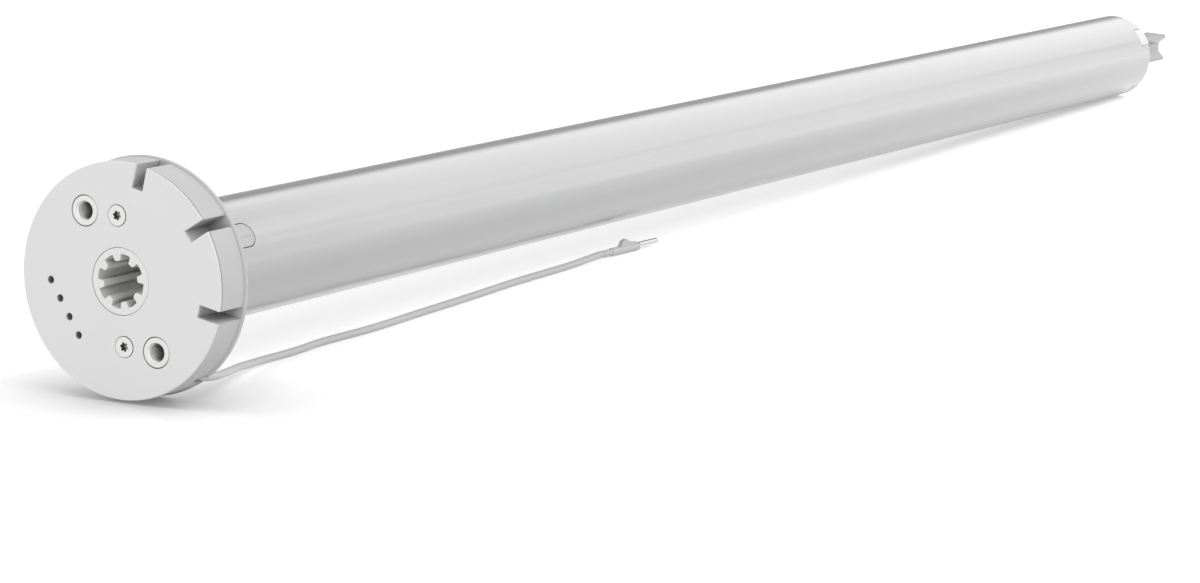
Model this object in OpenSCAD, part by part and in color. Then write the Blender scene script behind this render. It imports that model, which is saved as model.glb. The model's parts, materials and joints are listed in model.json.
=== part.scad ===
// Tubular roller blind motor
// The origin is the middle of the head's face, +X runs along the motor axis to the output shaft, +Z is up.
// It is drawn as it lies on a floor: on the rim of its head and on the far end of its tube.

/* [Head] */
// Diameter of the head's face plate and rim
head_d = 72; // [68:0.5:80]
// Depth of the head, from its face to the back of its lip
head_depth = 14; // [13.5:0.1:18]
// Thickness of the face plate
plate_t = 0.9; // [0.8:0.1:2.2]
// Radius of the face plate's front edge
plate_edge_r = 0.4; // [0.2:0.1:0.6]
// Thickness of the lip at the back of the rim
lip_t = 1.6; // [1:0.1:2]
// How far the lip stands out of the rim
lip_proud = 0.5; // [0.3:0.1:1.2]
// Turn of the head's features about the motor axis
head_roll = 12.6; // [0:0.1:30]
// Width of a rim notch
notch_w = 4; // [3:0.1:5]
// Radial depth of a rim notch
notch_depth = 7.3; // [5:0.1:8]
// Length of the spigot that goes into the tube
spigot_len = 30; // [29:1:40]
// Wall of the hollow end of the spigot
spigot_wall = 2.4; // [1.5:0.1:3]

/* [Splined socket] */
// Outer diameter of the socket insert
socket_d = 20.4; // [20:0.1:22]
// Diameter across the socket's grooves
socket_groove_d = 16.5; // [16:0.1:18]
// Diameter across the tips of the socket's ribs
socket_tip_d = 12.2; // [11:0.1:13]
// Number of ribs in the socket
socket_ribs = 8; // [6:1:8]
// Width of a rib at its root
rib_root_w = 3.4; // [3:0.1:4.2]
// Width of a rib at its tip
rib_tip_w = 2.1; // [1.6:0.1:2.6]
// Depth of the socket
socket_depth = 24; // [18:0.5:28]
// Thickness of the socket's floor
socket_floor_t = 2; // [1:0.1:3]

/* [Bushes and screws] */
// Distance between the two threaded bushes
bush_pitch = 48; // [46:0.5:50]
// Outer diameter of a bush
bush_d = 9.5; // [9:0.1:10.6]
// Core diameter of the bush's M6 thread
bush_hole_d = 5; // [4:0.1:6]
// Length of a bush
bush_len = 7.5; // [6:0.1:7.8]
// Distance between the two face screws
screw_pitch = 39.5; // [38.5:0.5:41]
// Head diameter of a face screw
screw_head_d = 6.3; // [5.8:0.1:8]
// Shank diameter of a face screw
screw_shank_d = 3.5; // [3:0.1:4]
// Length of a face screw
screw_len = 11; // [8:0.5:12]
// Diameter of the small blind holes
pin_hole_d = 2.4; // [1.6:0.1:3]
// Distance between the small blind holes
pin_hole_step = 6.3; // [5:0.1:6.6]
// Depth of the small blind holes
pin_hole_depth = 5; // [3:0.5:8]

/* [Tube] */
// Outer diameter of the motor tube
tube_d = 38; // [37.4:0.1:42]
// Wall of the motor tube
tube_wall = 1; // [0.8:0.1:1.3]
// Length from the head's face to the end of the tube
tube_end = 800; // [780:5:900]
// Width of the head's tongue in the tube's slot
tongue_w = 7.6; // [6:0.1:9]
// Reach of the tongue behind the lip
tongue_len = 32.4; // [24:0.1:36]

/* [End cap] */
// Length of the end cap's plug in the tube
cap_len = 16; // [14:0.5:22]
// Thickness of the cap's flange outside the tube
cap_flange_t = 1; // [0.6:0.1:2]
// Width of a key in the tube's end
key_w = 8.2; // [6:0.1:10]
// Length of a key in the tube's end
key_len = 8; // [5:0.5:11]
// Diameter of the bearing boss
boss_d = 25; // [24:0.5:27]
// Length of the bearing boss outside the tube
boss_len = 13; // [10:0.5:16]

/* [Output shaft] */
// Diameter of the round journal
journal_d = 14; // [13.6:0.1:15]
// Height of the waisted drive profile
drive_h = 12.6; // [11.6:0.1:13]
// Width of the drive profile
drive_w = 10.4; // [9:0.1:11]
// Depth of the groove in each side of the drive profile
waist_depth = 3; // [2:0.1:3.4]
// Height of the groove's floor
waist_floor_h = 3.6; // [2.6:0.1:5]
// How far the shaft stands out of the tube
shaft_reach = 56; // [45:0.5:70]
// Turn of the drive profile at rest
drive_turn = 4; // [-10:0.5:10]
// Outer diameter of the output bearing
bearing_bush_d = 19; // [18:0.1:20]
// Thickness of the retaining ring
ring_t = 1.2; // [1:0.1:1.6]

/* [Gearbox] */
// Wall of the ring gear behind its teeth
ring_wall = 1.3; // [1:0.1:2]
// Teeth of a sun gear
sun_teeth = 12; // [12:1:13]
// Teeth of a planet gear
planet_teeth = 15; // [14:1:15]
// Face widths of the planet gears of the first, second and third stage
planet_w1 = 10; // [7:0.5:14]
// Face width of the second stage
planet_w2 = 14; // [10:0.5:18]
// Face width of the third stage
planet_w3 = 20; // [16:0.5:26]
// Diameter of a planet pin
planet_pin_d = 4; // [3:0.1:5]
// Thickness of the first and second carrier
carrier_t = 4; // [3:0.1:6]
// Thickness of the output carrier
out_carrier_t = 6; // [5:0.1:9]
// Thickness of the thrust washer
washer_t = 1; // [0.6:0.1:2]

/* [Motor] */
// Length of the motor can
can_len = 118; // [110:1:130]
// Wall of the motor can
can_wall = 1.2; // [0.8:0.1:1.5]
// Length of the stator and of the rotor
stator_len = 70; // [50:1:80]
// Share of the stator's diameter that the rotor takes
rotor_share = 0.54; // [0.5:0.01:0.57]
// Thickness of the rotor magnets
magnet_t = 2.4; // [1.6:0.1:3]
// Diameter of the rotor shaft
rotor_shaft_d = 6; // [5:0.1:6.4]
// Width of a stator tooth
tooth_w = 4.6; // [4:0.1:5]
// Thickness of a winding beside its tooth
winding_t = 2.2; // [1.4:0.1:2.4]
// Outer diameter of a ball bearing
ball_bearing_d = 17; // [16:0.1:19]
// Width of a ball bearing
ball_bearing_w = 6; // [5:0.1:7]
// Thickness of a shield's flange
shield_flange_t = 4; // [3:0.1:6]

/* [Brake] */
// Length of the brake's magnet body
brake_len = 24; // [21:0.5:30]
// Travel of the brake armature
brake_travel = 0.5; // [0.3:0.05:1]
// Thickness of the brake armature
armature_t = 3; // [2:0.1:4]
// Thickness of the friction disc
disc_t = 3; // [2:0.1:5]
// Diameter of a guide pin
guide_pin_d = 2.4; // [1.8:0.1:2.6]
// Wire of the brake spring
spring_wire_d = 0.9; // [0.7:0.1:1.1]
// Number of turns of the brake spring
spring_turns = 5; // [3:1:6]

/* [Cells and electronics] */
// Diameter of a cell
cell_d = 18.4; // [17:0.1:21]
// Length of a cell
cell_len = 65; // [60:0.5:70]
// Number of cells in line
cell_count = 4; // [3:1:4]
// Thickness of the cradle's end plates
cradle_plate_t = 4; // [3:0.5:6]
// Thickness of a circuit board
board_t = 1.6; // [1:0.1:2]
// Gap between the edges of the control board and the tray
board_gap = 1.1; // [0.6:0.1:2]
// Thickness of the rubber damper
damper_t = 6; // [4:0.5:10]
// Diameter of a bulk capacitor
capacitor_d = 10; // [8:0.5:10]
// Height of a bulk capacitor
capacitor_h = 16; // [12:0.5:16]

/* [Lead] */
// Diameter of the lead
lead_d = 2.5; // [2:0.1:2.6]
// Diameter of the lead's inner run
inner_lead_d = 2.2; // [1.8:0.1:2.3]
// Distance of the lead's gland from the head's face
gland_x = 9.8; // [9.7:0.1:10.4]
// Diameter of the gland
gland_d = 3.4; // [2.8:0.1:3.6]
// Length of the gland
gland_len = 4.7; // [3:0.1:6]
// Width of the groove in the rim that lets the lead out
groove_w = 3.6; // [3.2:0.1:4]
// Depth of that groove
groove_depth = 5.6; // [5.2:0.1:6]
// Diameter of the connector's barrel
plug_d = 3; // [2.6:0.1:4]
// Length of the connector's barrel
plug_len = 17.5; // [17:0.5:24]
// Diameter of the connector's contact pin
contact_d = 1.9; // [1.2:0.1:2]
// Length of the connector's contact pin
contact_len = 12; // [10:0.5:16]

/* [Clearances] */
// Radial gap between pieces that are fixed to each other
seat_gap = 0.1; // [0.05:0.01:0.15]
// Radial gap of a shaft that turns in its bore
run_gap = 0.05; // [0.03:0.01:0.09]
// Axial gap between pieces that turn past each other
face_gap = 0.4; // [0.3:0.05:0.6]
// Play of the gear teeth, as thinning of each tooth
tooth_play = 0.14; // [0.1:0.01:0.2]
// Air gap between rotor and stator
air_gap = 0.4; // [0.3:0.05:0.8]
// Gap between the friction faces of the brake
brake_gap = 0.15; // [0.1:0.01:0.2]

/* [Hidden] */
$fn = 96;
cut = 1;

// Head
head_r = head_d / 2;
lip_r = head_r + lip_proud;
lip_x0 = head_depth - lip_t;
edge = 0.3;
seam_w = 0.36;
seam_depth = 0.9;
notch_turns = [90, 135, 180];
bush_turns = [45, 225];
screw_turns = [74.1, 254.1];
pin_hole_line_turn = 45;
pin_hole_off = 22.6;
pin_hole_shift = 2.8;
pin_hole_count = 4;
torx_d = 3;
torx_lobe_d = 0.8;
torx_depth = 1.8;
screw_cone_h = 1.9;
screw_rim_gap = 0.35;
socket_len = socket_depth + socket_floor_t;
socket_step = 360 / socket_ribs;
rib_tip_round = 0.5;

// Tube and end cap
tube_r = tube_d / 2;
bore_r = tube_r - tube_wall;
seat_r = bore_r - seat_gap;
tongue_turns = [135, 315];
tongue_x1 = head_depth + tongue_len;
tongue_gap = 0.3;
spigot_x1 = head_depth + spigot_len;
key_turns = [45, 135, 225, 315];
key_gap = 0.2;
cap_x0 = tube_end - cap_len;
cap_r = tube_r - 0.3;
boss_x1 = tube_end + cap_flange_t + boss_len;
boss_chamfer = 1;

// Gear train, worked back from the end cap
pressure = 25;
ring_teeth = sun_teeth + 2 * planet_teeth;
addendum_share = 0.9;
dedendum_share = 1.15;
gear_module = (seat_r - ring_wall) / (ring_teeth / 2 + dedendum_share);
addendum = addendum_share * gear_module;
dedendum = dedendum_share * gear_module;
sun_pitch_r = gear_module * sun_teeth / 2;
planet_pitch_r = gear_module * planet_teeth / 2;
ring_pitch_r = gear_module * ring_teeth / 2;
centre_r = sun_pitch_r + planet_pitch_r;
planet_count = 3;
mesh_places = sun_teeth + ring_teeth;
planet_turns = [for (k = [0 : planet_count - 1]) round(k * mesh_places / planet_count) * 360 / mesh_places];
carrier_r = centre_r + planet_pin_d / 2 + 2;
out_plate_x1 = cap_x0 - washer_t - face_gap;
out_plate_x0 = out_plate_x1 - out_carrier_t;
planet_3_x0 = out_plate_x0 - face_gap - planet_w3;
plate_2_x0 = planet_3_x0 - face_gap - carrier_t;
planet_2_x0 = plate_2_x0 - face_gap - planet_w2;
plate_1_x0 = planet_2_x0 - face_gap - carrier_t;
planet_1_x0 = plate_1_x0 - face_gap - planet_w1;
planet_x0 = [planet_1_x0, planet_2_x0, planet_3_x0];
planet_w = [planet_w1, planet_w2, planet_w3];
plate_x0 = [plate_1_x0, plate_2_x0, out_plate_x0];
plate_t_of = [carrier_t, carrier_t, out_carrier_t];
gearbox_x0 = planet_1_x0 - face_gap;

// Output shaft
journal_r = journal_d / 2;
hub_d = 10;
shaft_x1 = tube_end + shaft_reach;
ring_x0 = boss_x1 + face_gap;
ring_groove_depth = 0.8;
collar_len = 3;
drive_x0 = ring_x0 + ring_t + collar_len;
drive_round = 0.8;

// Motor
can_x1 = gearbox_x0 - shield_flange_t;
can_x0 = can_x1 - can_len;
can_ir = seat_r - can_wall;
shield_plug_len = ball_bearing_w;
shield_x0 = can_x0 - shield_flange_t;
stator_x0 = can_x0 + (can_len - stator_len) / 2;
stator_or = can_ir - seat_gap;
rotor_d = 2 * rotor_share * stator_or;
stator_ir = rotor_d / 2 + air_gap;
stator_teeth = 6;
shoe_t = 0.09 * stator_or;
yoke_t = 0.13 * stator_or;
shoe_gap_turn = 8;
winding_out = 7;
pole_count = 4;
pole_gap_turn = 8;
shaft_hole_r = rotor_shaft_d / 2 + 1;

// Brake
disc_x0 = shield_x0 - brake_gap - disc_t;
armature_x0 = disc_x0 - brake_gap - armature_t;
brake_face_x = armature_x0 - brake_travel - brake_gap;
brake_x0 = brake_face_x - brake_len;
armature_r = seat_r - 2;
skirt_r = armature_r + 0.4;
guide_r = armature_r - guide_pin_d / 2 - 1;
guide_count = 3;
guide_depth = 6;
pin_wall = 0.5;
disc_d = 2 * (guide_r - guide_pin_d / 2 - 2 * pin_wall);
coil_or = guide_r - guide_pin_d / 2 - pin_wall;
coil_ir = coil_or - 3.5;
coil_len = 15;
spring_mean_r = (shaft_hole_r + coil_ir) / 2 - 0.85;
spring_pocket_r = spring_mean_r + spring_wire_d / 2 + 0.4;
spring_pocket_depth = 8;
spring_x0 = brake_face_x - spring_pocket_depth;
spring_len = armature_x0 - spring_x0;
encoder_d = 12;
encoder_t = 5;
rotor_x0 = brake_x0 - encoder_t - 1;
rotor_x1 = planet_1_x0 + planet_w1;

// Cells and electronics, worked back from the brake
sensor_gap = 1.2;
sensor_chip = [5, 5, 0.9];
sensor_x1 = rotor_x0 - sensor_gap;
sensor_x0 = sensor_x1 - board_t;
shell_wall = 2;
shell_ir = seat_r - shell_wall;
cradle_x1 = sensor_x0;
cell_gap = 0.6;
cells_len = cell_count * cell_len + (cell_count - 1) * cell_gap;
cells_x0 = cradle_x1 - cradle_plate_t - cell_gap - cells_len;
cradle_x0 = cells_x0 - cell_gap - cradle_plate_t;
cell_drop = 4;
saddle_t = 3;
saddle_places = [0.2, 0.8];
wire_hole_r = 4;
cell_nub_d = 6;
cell_nub_h = 1.5;
tray_x0 = spigot_x1 + damper_t;
tray_x1 = cradle_x0;
tray_ring_t = 4;
tray_seat = -5;
rail_h = 2;
board_w = 2 * (sqrt(shell_ir * shell_ir - tray_seat * tray_seat) - board_gap);
rail_in = board_w / 2 - 2;
board_x0 = tray_x0 + tray_ring_t + 2;
board_x1 = tray_x1 - tray_ring_t - 2;
board_top = tray_seat + board_t;
board_blocks = [
    // distance along the board, across it, length, width, height
    [24, -5, 14, 14, 2.4],
    [46, 4, 22, 12, 3.2],
    [78, -4, 12, 16, 7],
    [104, 5, 18, 9, 5],
    [130, -3, 8, 18, 9]
];
capacitor_places = [150, 164, 178];

// Lead, from its hole in the rim along the floor
gland_turn = 234;
lead_r = (socket_d / 2 + seat_r) / 2 - 1.05;
groove_r = head_r - groove_depth;
gland_r0 = groove_r - gland_len;
terminal_len = 9;
terminal_w = 8;
floor_rise = (lip_r - tube_r) / (tube_end - head_depth);
lead_sides = 8;
lead_steps = 3;
// Points of the lead as distance from the head's face, place across the floor and height over the floor
lead_route = [
    [20, -20.6, 6.8], [28, -18.2, 6], [36, -14.8, 4.9], [45, -11.5, 4], [55, -8.6, 2.9], [66, -6.6, 2.1],
    [78, -5.6, 1.5], [90, -5.2, 1.3], [103, -4.6, 1.3], [130, -6.4, 1.3], [160, -6, 1.3], [192, -5.7, 1.3],
    [227, -4.9, 1.3], [261, -5.5, 1.3]
];
exit_step = 22.5;
exit_straight = 0.6;
exit_bend_r = groove_depth - exit_straight;
plug_start = [292, -6, 1.6];
plug_yaw = -7;
latch_len = 11;
latch_h = 2.2;
latch_w = 1.8;
latch_off = 5.5;
latch_foot = 0.7;
latch_dome_r = 3.4;
latch_turns = [-68, 48];
contact_lift = 0.5;

// Turns a piece that is drawn along Z so that it lies along the motor axis
module axial(x = 0, turn = 0) {
    rotate([90, 0, 90]) rotate([0, 0, turn]) translate([0, 0, x]) children();
}

// Solid of revolution from [radius, distance along the axis] points
module turned(points) {
    rotate_extrude() polygon(points);
}

// Ring between two radii
module ring(r_out, r_in, len) {
    difference() {
        cylinder(r = r_out, h = len);
        translate([0, 0, -cut]) cylinder(r = r_in, h = len + 2 * cut);
    }
}

// Round stretch of an outline
function arc(centre, r, from, to, steps = 6) =
    [for (i = [0 : steps]) centre + r * [cos(from + (to - from) * i / steps), sin(from + (to - from) * i / steps)]];

// Point across the axis at a radius and a turn
function polar(r, turn) = [r * cos(turn), r * sin(turn)];

module at_turns(r, turns) {
    for (t = turns) translate([r * cos(t), r * sin(t), 0]) children();
}

// Notches in the rim, up to the lip
module notches() {
    for (t = notch_turns) rotate([0, 0, t]) translate([head_r - notch_depth, -notch_w / 2, -cut])
        cube([notch_depth + cut, notch_w, lip_x0 + cut]);
}

// Groove where face plate and rim meet, between the outer notches
module seam_groove() {
    rotate([0, 0, notch_turns[0]]) rotate_extrude(angle = notch_turns[2] - notch_turns[0])
        translate([head_r - seam_depth, plate_t - seam_w / 2]) square([seam_depth + cut, seam_w]);
}

// Line of small blind holes, beside the line of the bushes
module pin_holes() {
    rotate([0, 0, pin_hole_line_turn]) for (i = [0 : pin_hole_count - 1])
        translate([pin_hole_shift + (i - (pin_hole_count - 1) / 2) * pin_hole_step, -pin_hole_off, -cut])
            cylinder(d = pin_hole_d, h = pin_hole_depth + cut, $fn = 32);
}

// Countersunk screw seat, grown by a gap
module screw_form(gap) {
    cylinder(r1 = screw_head_d / 2 + gap, r2 = screw_shank_d / 2 + gap, h = screw_cone_h);
    cylinder(d = screw_shank_d + 2 * gap, h = screw_len + gap);
}

module face_plate() {
    front_edge = arc([head_r - plate_edge_r, plate_edge_r], plate_edge_r, -90, 0);
    color("gainsboro") axial(turn = head_roll) difference() {
        turned(concat([[0, 0]], front_edge, [[head_r, plate_t], [0, plate_t]]));
        seam_groove();
        translate([0, 0, -cut]) cylinder(d = socket_d + 2 * seat_gap, h = plate_t + 2 * cut);
        at_turns(bush_pitch / 2, bush_turns) translate([0, 0, -cut])
            cylinder(d = bush_d + 2 * seat_gap, h = plate_t + 2 * cut);
        at_turns(screw_pitch / 2, screw_turns) {
            screw_form(screw_rim_gap);
            translate([0, 0, -cut]) cylinder(d = screw_head_d + 2 * screw_rim_gap, h = cut + seat_gap);
        }
        pin_holes();
        notches();
    }
}

// Tongue outline that reaches along the tube from a start, drawn to be cut radially
module tongue_form(gap, start) {
    w = tongue_w + 2 * gap;
    x1 = tongue_x1 + gap;
    for (t = tongue_turns) rotate([0, 0, t]) rotate([0, 90, 0]) linear_extrude(head_r) {
        translate([w / 2 - x1, -w / 2]) square([x1 - w / 2 - start, w]);
        translate([w / 2 - x1, 0]) circle(d = w);
    }
}

// Way of the lead from its gland through the head to the board, grown by a gap
module inner_lead_form(gap) {
    d = inner_lead_d + 2 * gap;
    rotate([0, 0, gland_turn - head_roll]) {
        translate([lead_r, 0, gland_x]) rotate([0, 90, 0]) cylinder(d = d, h = gland_r0 - lead_r, $fn = 32);
        translate([lead_r, 0, gland_x]) sphere(d = d, $fn = 32);
        translate([lead_r, 0, gland_x]) cylinder(d = d, h = board_x0 + cut - gland_x, $fn = 32);
    }
}

// Radial round stretch at the gland, out to a radius
module gland_form(d, r_out) {
    rotate([0, 0, gland_turn - head_roll]) translate([gland_r0, 0, gland_x]) rotate([0, 90, 0])
        cylinder(d = d, h = r_out - gland_r0, $fn = 48);
}

// Groove in the rim from the gland out through the lip
module lead_groove() {
    rotate([0, 0, gland_turn - head_roll]) translate([groove_r, 0, gland_x]) {
        rotate([0, 90, 0]) cylinder(d = groove_w, h = groove_depth + lip_proud + cut, $fn = 48);
        translate([0, -groove_w / 2, 0]) cube([groove_depth + lip_proud + cut, groove_w, head_depth]);
    }
}

module head_body() {
    color("lightgray") axial(turn = head_roll) difference() {
        union() {
            turned([
                [0, plate_t], [head_r, plate_t], [head_r, lip_x0],
                [lip_r - edge, lip_x0], [lip_r, lip_x0 + edge], [lip_r, head_depth - edge],
                [lip_r - edge, head_depth], [seat_r, head_depth], [seat_r, spigot_x1 - 1],
                [seat_r - 1, spigot_x1], [0, spigot_x1]
            ]);
            intersection() {
                tongue_form(0, head_depth - lip_t / 2);
                cylinder(r = tube_r, h = tongue_x1 + cut);
                difference() {
                    cylinder(r = tube_r + cut, h = tongue_x1 + cut);
                    translate([0, 0, spigot_x1]) cylinder(r = seat_r, h = tongue_x1);
                }
            }
        }
        seam_groove();
        translate([0, 0, -cut]) cylinder(d = socket_d + 2 * seat_gap, h = socket_len + cut);
        translate([0, 0, socket_len + socket_floor_t])
            cylinder(r = seat_r - spigot_wall, h = spigot_x1);
        at_turns(bush_pitch / 2, bush_turns) cylinder(d = bush_d + 2 * seat_gap, h = bush_len + seat_gap);
        at_turns(screw_pitch / 2, screw_turns) screw_form(seat_gap);
        pin_holes();
        notches();
        gland_form(gland_d + 2 * seat_gap, groove_r + cut);
        lead_groove();
        inner_lead_form(2 * seat_gap);
    }
}

// One rib of the socket: a tapered tooth with rounded corners at its tip
module socket_rib() {
    tip_r = socket_tip_d / 2;
    root_r = socket_groove_d / 2 + cut / 2;
    a = rib_tip_w / 2 - rib_tip_round;
    polygon(concat(
        [[root_r, -rib_root_w / 2]],
        arc([tip_r + rib_tip_round, -a], rib_tip_round, 270, 180, 3),
        arc([tip_r + rib_tip_round, a], rib_tip_round, 180, 90, 3),
        [[root_r, rib_root_w / 2]]
    ));
}

module socket_insert() {
    color("whitesmoke") axial(turn = head_roll) difference() {
        cylinder(d = socket_d, h = socket_len);
        translate([0, 0, -cut]) linear_extrude(socket_depth + cut) difference() {
            circle(d = socket_groove_d);
            for (i = [0 : socket_ribs - 1]) rotate([0, 0, (i + 0.5) * socket_step]) socket_rib();
        }
    }
}

module threaded_bushes() {
    color("silver") axial(turn = head_roll) at_turns(bush_pitch / 2, bush_turns)
        ring(bush_d / 2, bush_hole_d / 2, bush_len);
}

// Six-lobe drive recess
module star_recess() {
    lobe_r = torx_d / 2 - torx_lobe_d / 2;
    cylinder(r = lobe_r, h = torx_depth, $fn = 32);
    for (i = [0 : 5]) rotate([0, 0, i * 60]) translate([lobe_r, 0, 0])
        cylinder(d = torx_lobe_d, h = torx_depth, $fn = 16);
}

module face_screws() {
    color("silver") axial(turn = head_roll) at_turns(screw_pitch / 2, screw_turns) difference() {
        translate([0, 0, seat_gap]) union() {
            cylinder(d1 = screw_head_d - seat_gap, d2 = screw_shank_d, h = screw_cone_h - seat_gap);
            cylinder(d = screw_shank_d, h = screw_len - seat_gap);
        }
        star_recess();
    }
}

module cable_gland() {
    color("dimgray") axial(turn = head_roll) gland_form(gland_d, groove_r);
}

module inner_lead() {
    color("gainsboro") axial(turn = head_roll) inner_lead_form(0);
}

module motor_tube() {
    c = edge;
    color("silver") axial(turn = head_roll) difference() {
        turned([
            [bore_r, head_depth], [tube_r - c, head_depth], [tube_r, head_depth + c],
            [tube_r, tube_end - c], [tube_r - c, tube_end], [bore_r, tube_end]
        ]);
        tongue_form(tongue_gap, head_depth - cut);
        keys(key_gap, tube_r + cut);
    }
}

// Keys of the end cap in the tube's end, grown by a gap
module keys(gap, r) {
    for (t = key_turns) rotate([0, 0, t]) translate([0, -key_w / 2 - gap, tube_end - key_len - gap])
        cube([r, key_w + 2 * gap, key_len + gap + cap_flange_t]);
}

module end_cap() {
    color("white") axial(turn = head_roll) difference() {
        union() {
            turned([
                [0, cap_x0], [seat_r - 1, cap_x0], [seat_r, cap_x0 + 1], [seat_r, tube_end],
                [cap_r, tube_end], [cap_r, tube_end + cap_flange_t - edge],
                [cap_r - edge, tube_end + cap_flange_t], [boss_d / 2, tube_end + cap_flange_t],
                [boss_d / 2, boss_x1 - boss_chamfer], [boss_d / 2 - boss_chamfer, boss_x1], [0, boss_x1]
            ]);
            intersection() {
                keys(0, tube_r + cut);
                cylinder(r = tube_r, h = tube_end + cut);
            }
        }
        translate([0, 0, cap_x0 - cut]) cylinder(d = bearing_bush_d + 2 * seat_gap, h = boss_x1);
    }
}

module output_bearing() {
    color("peru") axial(cap_x0) ring(bearing_bush_d / 2, journal_r + run_gap, boss_x1 - cap_x0);
}

module thrust_washer() {
    color("goldenrod") axial(cap_x0 - washer_t) ring(bearing_bush_d / 2 + 2, journal_r + face_gap, washer_t);
}

// Involute teeth: angle of the involute at a pressure angle, and half a tooth's angle at a radius
function involute(angle) = tan(angle) * 180 / PI - angle;
function half_tooth(r, teeth, grow) =
    let (pitch_r = gear_module * teeth / 2, base_r = pitch_r * cos(pressure))
    90 / teeth + grow / (2 * pitch_r) * 180 / PI + involute(pressure) - involute(acos(base_r / max(r, base_r)));
function gear_outline(teeth, root_r, tip_r, grow) =
    let (radii = [root_r, gear_module * teeth / 2, tip_r])
    [for (i = [0 : teeth - 1], side = [-1, 1], k = [0 : 2])
        let (r = radii[side < 0 ? k : 2 - k])
        polar(r, i * 360 / teeth + side * half_tooth(r, teeth, grow))];

// Turns of the planet and ring teeth that mesh with a sun whose first tooth points at 0
function planet_phase(turn) = turn + 180 - 180 / planet_teeth + turn * sun_teeth / planet_teeth;
function ring_phase() = planet_phase(0) * planet_teeth / ring_teeth;

module outer_gear(teeth, len) {
    pitch_r = gear_module * teeth / 2;
    linear_extrude(len) polygon(gear_outline(teeth, pitch_r - dedendum, pitch_r + addendum, -tooth_play));
}

module ring_gear() {
    len = cap_x0 - gearbox_x0;
    color("darkgray") axial(gearbox_x0) difference() {
        cylinder(r = seat_r, h = len);
        translate([0, 0, -cut]) rotate([0, 0, ring_phase()]) linear_extrude(len + 2 * cut)
            polygon(gear_outline(ring_teeth, ring_pitch_r - addendum, ring_pitch_r + dedendum, tooth_play));
    }
}

module planet(stage, k) {
    turn = planet_turns[k];
    color("burlywood") axial(planet_x0[stage]) at_turns(centre_r, [turn]) difference() {
        rotate([0, 0, planet_phase(turn)]) outer_gear(planet_teeth, planet_w[stage]);
        translate([0, 0, -cut]) cylinder(r = planet_pin_d / 2 + run_gap, h = planet_w[stage] + 2 * cut);
    }
}

module planet_pins(stage) {
    len = plate_x0[stage] + plate_t_of[stage] - planet_x0[stage];
    color("silver") axial(planet_x0[stage]) at_turns(centre_r, planet_turns) cylinder(d = planet_pin_d, h = len);
}

// Carrier plate with its pin holes
module carrier_plate(stage) {
    t = plate_t_of[stage];
    translate([0, 0, plate_x0[stage]]) difference() {
        cylinder(r = carrier_r, h = t);
        at_turns(centre_r, planet_turns) translate([0, 0, -cut])
            cylinder(r = planet_pin_d / 2 + seat_gap / 2, h = t + 2 * cut);
    }
}

// Carrier with the sun gear of the next stage
module carrier(stage) {
    sun_x0 = plate_x0[stage] + plate_t_of[stage];
    color("slategray") axial() {
        carrier_plate(stage);
        translate([0, 0, sun_x0 - cut]) outer_gear(sun_teeth, planet_w[stage + 1] + face_gap + cut);
    }
}

module output_carrier() {
    color("slategray") axial() difference() {
        carrier_plate(2);
        translate([0, 0, out_plate_x0 - cut]) cylinder(d = hub_d + seat_gap, h = out_carrier_t + 2 * cut);
    }
}

// Waisted section of the drive end
module drive_section() {
    w = drive_w / 2;
    h = drive_h / 2;
    tip_h = h - drive_round;
    right = concat(
        [[w - waist_depth, 0], [w - waist_depth, waist_floor_h / 2], [w, tip_h - drive_round]],
        arc([w - drive_round, tip_h], drive_round, 0, 90, 4)
    );
    left = [for (i = [len(right) - 1 : -1 : 0]) [-right[i][0], right[i][1]]];
    upper = concat(right, left);
    polygon(concat(upper, [for (i = [len(upper) - 2 : -1 : 1]) [upper[i][0], -upper[i][1]]]));
}

module output_shaft() {
    color("darkgray") axial(turn = drive_turn) {
        translate([0, 0, out_plate_x0]) cylinder(d = hub_d, h = out_carrier_t);
        difference() {
            translate([0, 0, out_plate_x1]) cylinder(r = journal_r, h = drive_x0 - out_plate_x1);
            translate([0, 0, ring_x0]) ring(journal_r + cut, journal_r - ring_groove_depth, ring_t + seat_gap);
        }
        translate([0, 0, drive_x0]) linear_extrude(shaft_x1 - drive_x0) drive_section();
    }
}

module retaining_ring() {
    gap_w = 4;
    color("dimgray") axial(ring_x0, drive_turn) difference() {
        ring(journal_r + 1.6, journal_r - ring_groove_depth + seat_gap, ring_t);
        translate([0, -gap_w / 2, -cut]) cube([journal_d, gap_w, ring_t + 2 * cut]);
    }
}

module front_shield() {
    plug_x0 = can_x1 - shield_plug_len;
    color("lightslategray") axial() difference() {
        union() {
            translate([0, 0, can_x1]) cylinder(r = seat_r, h = shield_flange_t);
            translate([0, 0, plug_x0]) cylinder(r = can_ir - seat_gap, h = shield_plug_len + cut);
        }
        translate([0, 0, plug_x0 - cut]) cylinder(d = ball_bearing_d + 2 * seat_gap, h = ball_bearing_w + cut);
        translate([0, 0, can_x1 - cut]) cylinder(r = shaft_hole_r, h = shield_flange_t + 2 * cut);
    }
}

module rear_shield() {
    color("lightslategray") axial() difference() {
        union() {
            translate([0, 0, shield_x0]) cylinder(r = seat_r, h = shield_flange_t);
            translate([0, 0, can_x0 - cut]) cylinder(r = can_ir - seat_gap, h = shield_plug_len + cut);
        }
        translate([0, 0, can_x0]) cylinder(d = ball_bearing_d + 2 * seat_gap, h = ball_bearing_w + cut);
        translate([0, 0, shield_x0 - cut]) cylinder(r = shaft_hole_r, h = shield_flange_t + 2 * cut);
    }
}

// Ball bearing with a shield groove in each face
module ball_bearing() {
    groove = 0.5;
    mid_r = (ball_bearing_d + rotor_shaft_d) / 4;
    difference() {
        ring(ball_bearing_d / 2, rotor_shaft_d / 2 + run_gap, ball_bearing_w);
        translate([0, 0, -cut]) ring(mid_r + 1.4, mid_r - 1.4, groove + cut);
        translate([0, 0, ball_bearing_w - groove]) ring(mid_r + 1.4, mid_r - 1.4, groove + cut);
    }
}

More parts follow.
